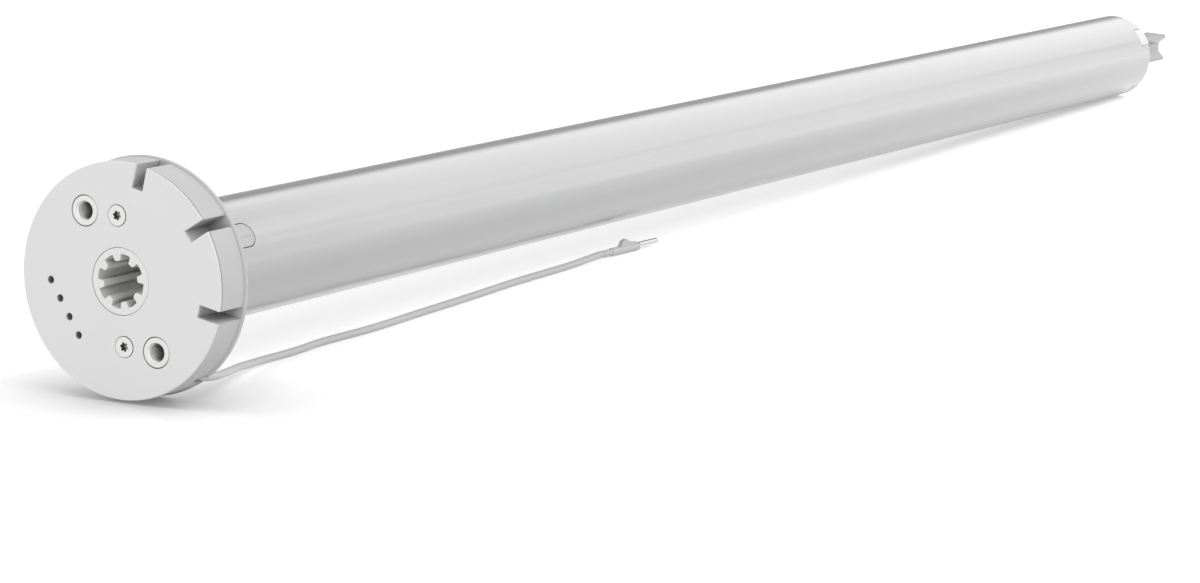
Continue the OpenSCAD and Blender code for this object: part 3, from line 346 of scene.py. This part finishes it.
@dataclass
class SubAssembly:
    """A group of CAD nodes that get their finish from the record's slots.

    Attributes:
        nodes: Names of the CAD nodes.
        edges_mm: Radius of the soft edges by node, for the nodes that show.
        pieces: What was dressed or built.
    """

    nodes: tuple[str, ...] = ()
    edges_mm: dict[str, float] = field(default_factory=dict)
    pieces: list[bpy.types.Object] = field(default_factory=list)

    def build(self) -> None:
        """Builds the pieces that the frame doesn't hold."""

    def dress(self) -> None:
        """Gives each CAD node its finish and each node that shows its soft edges."""
        slots = {part["node"]: part["material_slot"] for part in frame["record"]["subparts"]}
        for name in self.nodes:
            piece = frame["nodes"][name]
            piece.data.materials.clear()
            piece.data.materials.append(FINISHES[slots[name]].material())
            if name in self.edges_mm:
                self.soften(piece, self.edges_mm[name])
            self.pieces.append(piece)

    @staticmethod
    def soften(piece: bpy.types.Object, radius_mm: float) -> None:
        """Rounds the sharp edges of a piece with modifiers.

        Args:
            piece: The mesh object.
            radius_mm: Radius of the edges.
        """
        piece.modifiers.new("weld", "WELD").merge_threshold = WELD_MM * MM
        flat = piece.modifiers.new("flat", "DECIMATE")
        flat.decimate_type = "DISSOLVE"
        flat.angle_limit = math.radians(FLAT_DEGREES)
        bevel = piece.modifiers.new("edges", "BEVEL")
        bevel.width = radius_mm * MM
        bevel.segments = EDGE_STEPS
        bevel.limit_method = "ANGLE"
        bevel.angle_limit = math.radians(SHARP_DEGREES)
        piece.modifiers.new("normals", "WEIGHTED_NORMAL").mode = "FACE_AREA_WITH_ANGLE"

    def add(self, piece: bpy.types.Object, body: str, slot: str, *replaced: str) -> None:
        """Puts a new piece on a body in place of CAD nodes.

        Args:
            piece: The new object, in place.
            body: The CAD body that it rides on.
            slot: The record's material slot.
            replaced: The CAD nodes that it stands for.
        """
        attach(piece, body)
        self.finish(piece, slot, *replaced)

    def finish(self, piece: bpy.types.Object, slot: str, *replaced: str) -> None:
        """Gives a new piece its finish and lets it stand for CAD nodes.

        Args:
            piece: The new object.
            slot: The record's material slot.
            replaced: The CAD nodes that it stands for.
        """
        piece.data.materials.clear()
        piece.data.materials.append(FINISHES[slot].material())
        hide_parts(*replaced)
        self.pieces.append(piece)


def link(name: str, data: bpy.types.ID) -> bpy.types.Object:
    """Makes an object from its data and puts it in the scene.

    Args:
        name: The object's name.
        data: Mesh, curve, light or camera data.

    Returns:
        The new object.
    """
    made = bpy.data.objects.new(name, data)
    bpy.context.scene.collection.objects.link(made)
    return made


@dataclass(frozen=True)
class Thread:
    """Threaded bush along X, with its face at 0.

    Attributes:
        outer_d_mm: Outer diameter.
        length_mm: Length.
        core_d_mm: Diameter over the crests of the thread.
        major_d_mm: Diameter over the roots of the thread.
        pitch_mm: Pitch of the thread.
        chamfer_mm: Chamfer of the outer edge.
        around: Points round a ring.
        per_pitch: Rings in one pitch.
    """

    outer_d_mm: float = 9.5
    length_mm: float = 7.5
    core_d_mm: float = 5.0
    major_d_mm: float = 6.0
    pitch_mm: float = 1.0
    chamfer_mm: float = 0.3
    around: int = 64
    per_pitch: int = 8

    def bore_r_mm(self, x_mm: float, share: float) -> float:
        """Radius of the bore.

        Args:
            x_mm: Depth from the face.
            share: Place round the bore, as a share of a turn.

        Returns:
            The radius of the thread or, near the face, of the mouth's chamfer.
        """
        wave = abs((x_mm / self.pitch_mm - share) % 1 * 2 - 1)
        cut = self.core_d_mm + (self.major_d_mm - self.core_d_mm) * wave
        return max(cut, self.major_d_mm - 2 * x_mm) / 2

    def mesh(self, name: str) -> bpy.types.Mesh:
        """Makes the closed mesh, ring by ring: from the back over the face and down the thread.

        Args:
            name: The mesh's name.

        Returns:
            The mesh, in metres.
        """
        edge_r = self.outer_d_mm / 2
        rings = [[(x, r)] * self.around for x, r in
                 ((self.length_mm, edge_r), (self.chamfer_mm, edge_r), (0, edge_r - self.chamfer_mm))]
        steps = round(self.length_mm / self.pitch_mm * self.per_pitch)
        for i in range(steps + 1):
            x = self.length_mm * i / steps
            rings.append([(x, self.bore_r_mm(x, k / self.around)) for k in range(self.around)])
        points = [(x, r * math.cos(math.tau * k / self.around), r * math.sin(math.tau * k / self.around))
                  for ring in rings for k, (x, r) in enumerate(ring)]
        faces = []
        for i in range(len(rings)):
            here, there = i * self.around, (i + 1) % len(rings) * self.around
            for k in range(self.around):
                after = (k + 1) % self.around
                faces.append((here + k, there + k, there + after, here + after))
        data = bpy.data.meshes.new(name)
        data.from_pydata([Vector(p) * MM for p in points], [], faces)
        return data


@dataclass
class Head(SubAssembly):
    """Round head with its plate, socket, threaded bushes, screws and gland.

    Attributes:
        bush_turns: Turns of the bushes about the axis, in degrees.
        bush_pitch_mm: Diameter of the circle that the bushes stand on.
        thread: The bush with its cut thread.
    """

    nodes: tuple[str, ...] = ("face_plate", "head_body", "socket_insert", "threaded_bushes", "face_screws",
                              "cable_gland", "inner_lead")
    edges_mm: dict[str, float] = field(default_factory=lambda: {
        "face_plate": 0.12, "head_body": 0.2, "socket_insert": 0.25, "face_screws": 0.08})
    bush_turns: tuple[float, ...] = (57.6, 237.6)
    bush_pitch_mm: float = 48.0
    thread: Thread = field(default_factory=Thread)

    def build(self) -> None:
        """Builds the bushes with their cut threads."""
        for number, turn in enumerate(self.bush_turns, start=1):
            bush = link(f"threaded_bush_{number}", self.thread.mesh(f"threaded_bush_{number}"))
            angle = math.radians(turn)
            middle = Vector((0, math.cos(angle), math.sin(angle))) * self.bush_pitch_mm / 2 * MM
            bush.matrix_world = Matrix.Translation(middle)
            self.add(bush, "case", "bush_steel", "threaded_bushes")


@dataclass
class Tube(SubAssembly):
    """Long drawn tube."""

    nodes: tuple[str, ...] = ("motor_tube",)
    edges_mm: dict[str, float] = field(default_factory=lambda: {"motor_tube": 0.12})


@dataclass
class OutputEnd(SubAssembly):
    """End cap, its bearing, the drive shaft and the ring that keeps it."""

    nodes: tuple[str, ...] = ("end_cap", "output_bearing", "thrust_washer", "output_shaft", "retaining_ring")
    edges_mm: dict[str, float] = field(default_factory=lambda: {
        "end_cap": 0.3, "output_shaft": 0.3, "retaining_ring": 0.1})


@dataclass
class Gearbox(SubAssembly):
    """Three planetary stages in one ring gear."""

    nodes: tuple[str, ...] = ("ring_gear", "output_carrier", "carrier_1", "carrier_2",
                              "planet_pins_1", "planet_pins_2", "planet_pins_3",
                              "planet_1a", "planet_1b", "planet_1c", "planet_2a", "planet_2b", "planet_2c",
                              "planet_3a", "planet_3b", "planet_3c")


@dataclass
class Motor(SubAssembly):
    """Motor with its can, shields, bearings, stator and rotor."""

    nodes: tuple[str, ...] = ("front_shield", "front_bearing", "motor_can", "stator_core", "stator_windings",
                              "rear_shield", "rear_bearing", "rotor_shaft", "rotor_core", "rotor_magnets")


@dataclass
class Brake(SubAssembly):
    """Holding brake behind the motor, with the encoder's magnet."""

    nodes: tuple[str, ...] = ("brake_housing", "brake_coil", "brake_guide_pins", "brake_armature",
                              "brake_spring", "brake_disc", "encoder_magnet")

    def build(self) -> None:
        """Builds a still copy of the spring in place of its CAD node."""
        spring = link("brake_spring_coil", frame["nodes"]["brake_spring"].data.copy())
        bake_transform(spring)
        self.finish(spring, "spring_steel", "brake_spring")


@dataclass
class PowerPack(SubAssembly):
    """Cells, boards and what carries them."""

    nodes: tuple[str, ...] = ("sensor_board", "cell_cradle", "cells", "electronics_tray", "control_board",
                              "bulk_capacitors", "head_damper")


@dataclass
class Floor:
    """Surface that the motor lies on: under the head's lip and the far end of the tube.

    Attributes:
        head_depth_mm: Place of the lip along the axis.
        lip_r_mm: Radius of the lip.
        tube_r_mm: Radius of the tube.
        tube_end_mm: Place of the tube's far end along the axis.
        span_mm: Length of a side of the floor.
    """

    head_depth_mm: float = 14.0
    lip_r_mm: float = 36.5
    tube_r_mm: float = 19.0
    tube_end_mm: float = 800.0
    span_mm: float = 24000.0

    @property
    def rise(self) -> float:
        """Rise of the floor along the axis.

        Returns:
            The height gained in each unit of length.
        """
        return (self.lip_r_mm - self.tube_r_mm) / (self.tube_end_mm - self.head_depth_mm)

    def height_mm(self, x_mm: float) -> float:
        """Finds the height of the floor.

        Args:
            x_mm: Place along the axis.

        Returns:
            The height, from the axis.
        """
        return (x_mm - self.head_depth_mm) * self.rise - self.lip_r_mm


@dataclass
class Lead(SubAssembly):
    """Thin lead from the gland along the floor, with its connector.

    Attributes:
        diameter_mm: Diameter of the sheath.
        gland_x_mm: Distance of the gland from the head's face.
        gland_turn: Turn of the gland about the axis, in degrees.
        groove_r_mm: Radius of the groove's floor, where the lead leaves the gland.
        straight_mm: Straight stretch out of the gland.
        bend_r_mm: Radius of the bend in the groove.
        bend_step: Step of the bend's points, in degrees.
        route_mm: Points as distance from the face, place across the floor and height over the floor.
        plug_mm: Start of the connector, given the same way.
        plug_yaw: Turn of the connector on the floor, in degrees.
        plug_run_mm: Distances before the connector where the lead is straight.
        steps: Points of the smooth curve in each span.
        round_steps: Fineness of the round section.
        floor: The floor that the lead lies on.
    """

    nodes: tuple[str, ...] = ("supply_lead", "connector_barrel", "connector_latch", "contact_pin")
    edges_mm: dict[str, float] = field(default_factory=lambda: {"connector_latch": 0.25, "contact_pin": 0.1})
    diameter_mm: float = 2.5
    gland_x_mm: float = 9.8
    gland_turn: float = 234.0
    groove_r_mm: float = 30.4
    straight_mm: float = 0.6
    bend_r_mm: float = 5.0
    bend_step: float = 22.5
    route_mm: tuple[Point, ...] = (
        (20, -20.6, 6.8), (28, -18.2, 6), (36, -14.8, 4.9), (45, -11.5, 4), (55, -8.6, 2.9),
        (66, -6.6, 2.1), (78, -5.6, 1.5), (90, -5.2, 1.3), (103, -4.6, 1.3), (130, -6.4, 1.3),
        (160, -6, 1.3), (192, -5.7, 1.3), (227, -4.9, 1.3), (261, -5.5, 1.3))
    plug_mm: Point = (292, -6, 1.6)
    plug_yaw: float = -7.0
    plug_run_mm: tuple[float, ...] = (8, 4, 0)
    steps: int = 8
    round_steps: int = 6
    floor: Floor = field(default_factory=Floor)

    def on_floor(self, point: Point) -> Vector:
        """Places a point that is given by its height over the floor.

        Args:
            point: Distance from the face, place across the floor and height over the floor.

        Returns:
            The place, in metres.
        """
        return Vector((point[0], point[1], self.floor.height_mm(point[0]) + point[2])) * MM

    def at_rim(self, x_mm: float, r_mm: float) -> Vector:
        """Places a point at the gland's turn.

        Args:
            x_mm: Distance from the face.
            r_mm: Distance from the axis.

        Returns:
            The place, in metres.
        """
        turn = math.radians(self.gland_turn)
        return Vector((x_mm, r_mm * math.cos(turn), r_mm * math.sin(turn))) * MM

    def centreline(self) -> list[Vector]:
        """Works out the lead's smooth centreline.

        Returns:
            Points from the gland to the connector, in metres.
        """
        start_r = self.groove_r_mm + self.straight_mm
        knots = []
        for i in range(round(90 / self.bend_step) + 1):
            turn = math.radians(i * self.bend_step)
            knots.append(self.at_rim(self.gland_x_mm + self.bend_r_mm * (1 - math.cos(turn)),
                                     start_r + self.bend_r_mm * math.sin(turn)))
        knots += [self.on_floor(point) for point in self.route_mm]
        yaw = math.radians(self.plug_yaw)
        ahead = Vector((math.cos(yaw), math.sin(yaw), self.floor.rise * math.cos(yaw))).normalized()
        knots += [self.on_floor(self.plug_mm) - ahead * run * MM for run in self.plug_run_mm]
        line = [self.at_rim(self.gland_x_mm, self.groove_r_mm)]
        for i in range(len(knots) - 1):
            a, b, c = knots[max(i - 1, 0)], knots[i], knots[i + 1]
            d = knots[min(i + 2, len(knots) - 1)]
            for k in range(self.steps):
                t = k / self.steps
                line.append(0.5 * (2 * b + t * (c - a) + t * t * (2 * a - 5 * b + 4 * c - d)
                                   + t ** 3 * (3 * b - a - 3 * c + d)))
        return [*line, knots[-1]]

    def build(self) -> None:
        line = self.centreline()
        data = bpy.data.curves.new("lead_sheath", "CURVE")
        data.dimensions = "3D"
        data.bevel_depth = self.diameter_mm / 2 * MM
        data.bevel_resolution = self.round_steps
        data.use_fill_caps = True
        spline = data.splines.new("POLY")
        spline.points.add(len(line) - 1)
        for point, place in zip(spline.points, line):
            point.co = (*place, 1)
        spline.use_smooth = True
        curve = link("lead_curve", data)
        drawn = curve.evaluated_get(bpy.context.evaluated_depsgraph_get())
        sheath = link("lead_sheath", bpy.data.meshes.new_from_object(drawn))
        bpy.data.objects.remove(curve)
        self.add(sheath, "case", "lead_sheath", "supply_lead")


@dataclass(frozen=True)
class Lamp:
    """One soft box.

    Attributes:
        name: The lamp's name.
        place_mm: Its middle.
        aim_mm: The point that it faces.
        size_mm: Its width and height.
        radiance: Brightness of its face, where 1 is white.
        mirrored: Whether shiny surfaces show it.
    """

    name: str
    place_mm: Point
    aim_mm: Point
    size_mm: tuple[float, float]
    radiance: float
    mirrored: bool = True

    def build(self) -> None:
        """Hangs the soft box."""
        data = bpy.data.lights.new(self.name, "AREA")
        data.shape = "RECTANGLE"
        data.size, data.size_y = (side * MM for side in self.size_mm)
        data.energy = self.radiance * math.pi * data.size * data.size_y
        made = link(self.name, data)
        place, aim = Vector(self.place_mm) * MM, Vector(self.aim_mm) * MM
        made.location = place
        made.rotation_euler = (aim - place).to_track_quat("-Z", "Y").to_euler()
        made.visible_camera = False
        made.visible_glossy = self.mirrored


@dataclass
class Studio:
    """White floor, white background, soft boxes and the camera.

    Attributes:
        floor: The floor's place.
        lamps: The soft boxes.
        card_mm: Corners of the grey card behind the motor, which the tube mirrors as a dark line.
        card_colour: Colour of the card as sRGB hex.
        glow: Light of the floor's own, as of a light table.
        bounce: Colour of the floor as it lights the motor from below.
        gloss: Share of the floor's light that it mirrors.
        gloss_roughness: Roughness of the floor's gloss.
        painted_contact_shadow: Share of the floor's brightness that is left in the shadow painted where the
            motor stands close.
        painted_shadow_reach_mm: Distance over which the motor counts as close for the painted shadow.
        painted_shadow_span_mm: Places along the axis from which the painted shadow fades and where it ends,
            so that it is painted round the head only.
        painted_shadow_sky: Share of open sky at which the painted shadow is fullest.
        ambient: Strength of the light from all round.
        mirrored: Brightness of the white walls as shiny surfaces see them.
        eye_mm: The camera's place.
        aim_mm: The point in the middle of the picture.
        roll: Turn of the camera about its line of sight, in degrees.
        lens_mm: Focal length of the lens.
        sensor_mm: Width of the sensor.
        sight_mm: Farthest distance that the camera sees.
    """

    floor: Floor = field(default_factory=Floor)
    lamps: tuple[Lamp, ...] = (
        Lamp("end_panel", (2900, 0, 900), (2900, 0, 0), (3200, 2200), 0.45),
        Lamp("end_strip", (3100, -1200, 450), (3100, 0, 450), (2600, 900), 0.45),
        Lamp("end_box", (1500, -500, 800), (1200, 0, 0), (1200, 800), 1.8, mirrored=False),
        Lamp("far_box", (2100, -1000, 900), (2100, -1000, 0), (1800, 1200), 2.6, mirrored=False),
        Lamp("side_box", (200, -1100, 1000), (250, 0, 0), (2000, 900), 1.4),
        Lamp("back_box", (300, 1100, 800), (300, 0, 0), (2000, 900), 1.5, mirrored=False),
        Lamp("front_box", (-1500, -200, 280), (0, 0, 0), (1000, 1000), 2.5),
    )
    card_mm: tuple[Point, ...] = ((800, 1500, 150), (7000, 1500, 150), (7000, 1500, 1500), (800, 1500, 1500))
    card_colour: str = "CACACA"
    glow: float = 0.3
    bounce: str = "B8B8B8"
    gloss: float = 0.14
    gloss_roughness: float = 0.05
    painted_contact_shadow: float = 0.5
    painted_shadow_reach_mm: float = 45.0
    painted_shadow_span_mm: tuple[float, float] = (10.0, 60.0)
    painted_shadow_sky: float = 0.4
    ambient: float = 0.4
    mirrored: float = 1.35
    eye_mm: Point = (-911.65, -665.26, 185.52)
    aim_mm: Point = (125.02, -93.94, -11.75)
    roll: float = 0.776
    lens_mm: float = 114.521
    sensor_mm: float = 36.0
    sight_mm: float = 100000.0

    def build(self) -> None:
        """Builds the whole studio."""
        self.build_floor()
        self.build_card()
        self.build_world()
        for lamp in self.lamps:
            lamp.build()
        self.build_camera()
        bpy.context.scene.view_settings.view_transform = "Standard"

    def build_floor(self) -> None:
        """Lays the floor under the lip and the tube's end."""
        half = self.floor.span_mm / 2
        corners = [(x, y, self.floor.height_mm(x)) for x, y in
                   ((-half, -half), (half, -half), (half, half), (-half, half))]
        data = bpy.data.meshes.new("floor")
        data.from_pydata([Vector(c) * MM for c in corners], [], [(0, 1, 2, 3)])
        made = link("floor", data)
        data.materials.append(self.floor_material())

    def floor_material(self) -> bpy.types.Material:
        """Makes the floor's material: white board with a faint gloss and a shadow painted into its colour
        close to the head.

        Returns:
            The material.
        """
        made = bpy.data.materials.new("board_white_gloss")
        made.use_nodes = True
        tree = made.node_tree
        tree.nodes.clear()
        rays = add_node(tree, "ShaderNodeLightPath", {})
        # Painted contact shadow: the colour falls towards black where the floor sees little open sky, faded
        # out along the axis away from the head
        open_sky = add_node(tree, "ShaderNodeAmbientOcclusion",
                            {"samples": SKY_SAMPLES, "Distance": self.painted_shadow_reach_mm * MM})
        place = add_node(tree, "ShaderNodeTexCoord", {})
        along = add_node(tree, "ShaderNodeSeparateXYZ", {}, {0: place.outputs["Object"]})
        near, far = self.painted_shadow_span_mm
        least = add_node(tree, "ShaderNodeMapRange", {1: near * MM, 2: far * MM, 3: self.painted_contact_shadow, 4: 1.0},
                         {0: along.outputs["X"]})
        left = add_node(tree, "ShaderNodeMapRange", {1: self.painted_shadow_sky, 2: 1.0, 4: 1.0},
                        {0: open_sky.outputs["AO"], 3: least.outputs[0]})
        painted_shadow_tone = add_node(tree, "ShaderNodeMix",
                        {"data_type": "RGBA", 6: linear("000000"), 7: linear("FFFFFF")},
                        {0: left.outputs[0]})
        tone = add_node(tree, "ShaderNodeMix", {"data_type": "RGBA", 7: linear(self.bounce)},
                        {0: rays.outputs["Is Diffuse Ray"], 6: painted_shadow_tone.outputs[2]})
        plain = add_node(tree, "ShaderNodeBsdfDiffuse", {}, {"Color": tone.outputs[2]})
        gloss = add_node(tree, "ShaderNodeBsdfGlossy",
                         {"Color": linear("FFFFFF"), "Roughness": self.gloss_roughness})
        both = add_node(tree, "ShaderNodeMixShader", {0: self.gloss},
                        {1: plain.outputs[0], 2: gloss.outputs[0]})
        # The floor's own glow carries the painted shadow as well
        glow = add_node(tree, "ShaderNodeEmission", {"Strength": self.glow}, {"Color": tone.outputs[2]})
        lit = add_node(tree, "ShaderNodeAddShader", {}, {0: both.outputs[0], 1: glow.outputs[0]})
        add_node(tree, "ShaderNodeOutputMaterial", {}, {"Surface": lit.outputs[0]})
        return made

    def build_card(self) -> None:
        """Stands the grey card behind the motor, where only shiny surfaces see it."""
        data = bpy.data.meshes.new("grey_card")
        data.from_pydata([Vector(c) * MM for c in self.card_mm], [], [(0, 1, 2, 3)])
        made = link("grey_card", data)
        paper = bpy.data.materials.new("paper_grey")
        paper.use_nodes = True
        shader = paper.node_tree.nodes["Principled BSDF"]
        shader.inputs["Base Color"].default_value = linear(self.card_colour)
        data.materials.append(paper)
        made.visible_camera = made.visible_diffuse = made.visible_shadow = False

    def build_world(self) -> None:
        """Sets a white background and the light from all round."""
        world = bpy.data.worlds.new("studio")
        bpy.context.scene.world = world
        world.use_nodes = True
        tree = world.node_tree
        tree.nodes.clear()
        rays = add_node(tree, "ShaderNodeLightPath", {})
        level = add_node(tree, "ShaderNodeValue", {}).outputs[0]
        level.default_value = self.ambient
        for kind, strength in (("Is Glossy Ray", self.mirrored), ("Is Transmission Ray", 1.0),
                               ("Is Camera Ray", 1.0)):
            level = add_node(tree, "ShaderNodeMix", {"data_type": "FLOAT", 3: strength},
                             {0: rays.outputs[kind], 2: level}).outputs[0]
        sky = add_node(tree, "ShaderNodeBackground", {"Color": linear("FFFFFF")}, {"Strength": level})
        add_node(tree, "ShaderNodeOutputWorld", {}, {"Surface": sky.outputs[0]})

    def build_camera(self) -> None:
        """Sets the camera where the photograph was taken."""
        data = bpy.data.cameras.new("camera")
        data.sensor_width = self.sensor_mm
        data.lens = self.lens_mm
        data.clip_end = self.sight_mm * MM
        made = link("camera", data)
        eye = Vector(self.eye_mm) * MM
        ahead = (Vector(self.aim_mm) * MM - eye).normalized()
        level = ahead.cross(Vector((0, 0, 1))).normalized()
        right = Matrix.Rotation(math.radians(-self.roll), 3, ahead) @ level
        up = right.cross(ahead)
        turn = Matrix((right, up, -ahead)).transposed().to_4x4()
        made.matrix_world = Matrix.Translation(eye) @ turn
        bpy.context.scene.camera = made


def main() -> None:
    """Builds the studio and each sub-assembly in order."""
    logging.basicConfig(level=logging.INFO, format="%(message)s")
    Studio().build()
    for assembly in (Lead(), Head(), Tube(), OutputEnd(), Gearbox(), Motor(), Brake(), PowerPack()):
        assembly.build()
        assembly.dress()
        LOG.info("%s: %s", type(assembly).__name__, ", ".join(piece.name for piece in assembly.pieces))


if __name__ == "__main__":
    main()
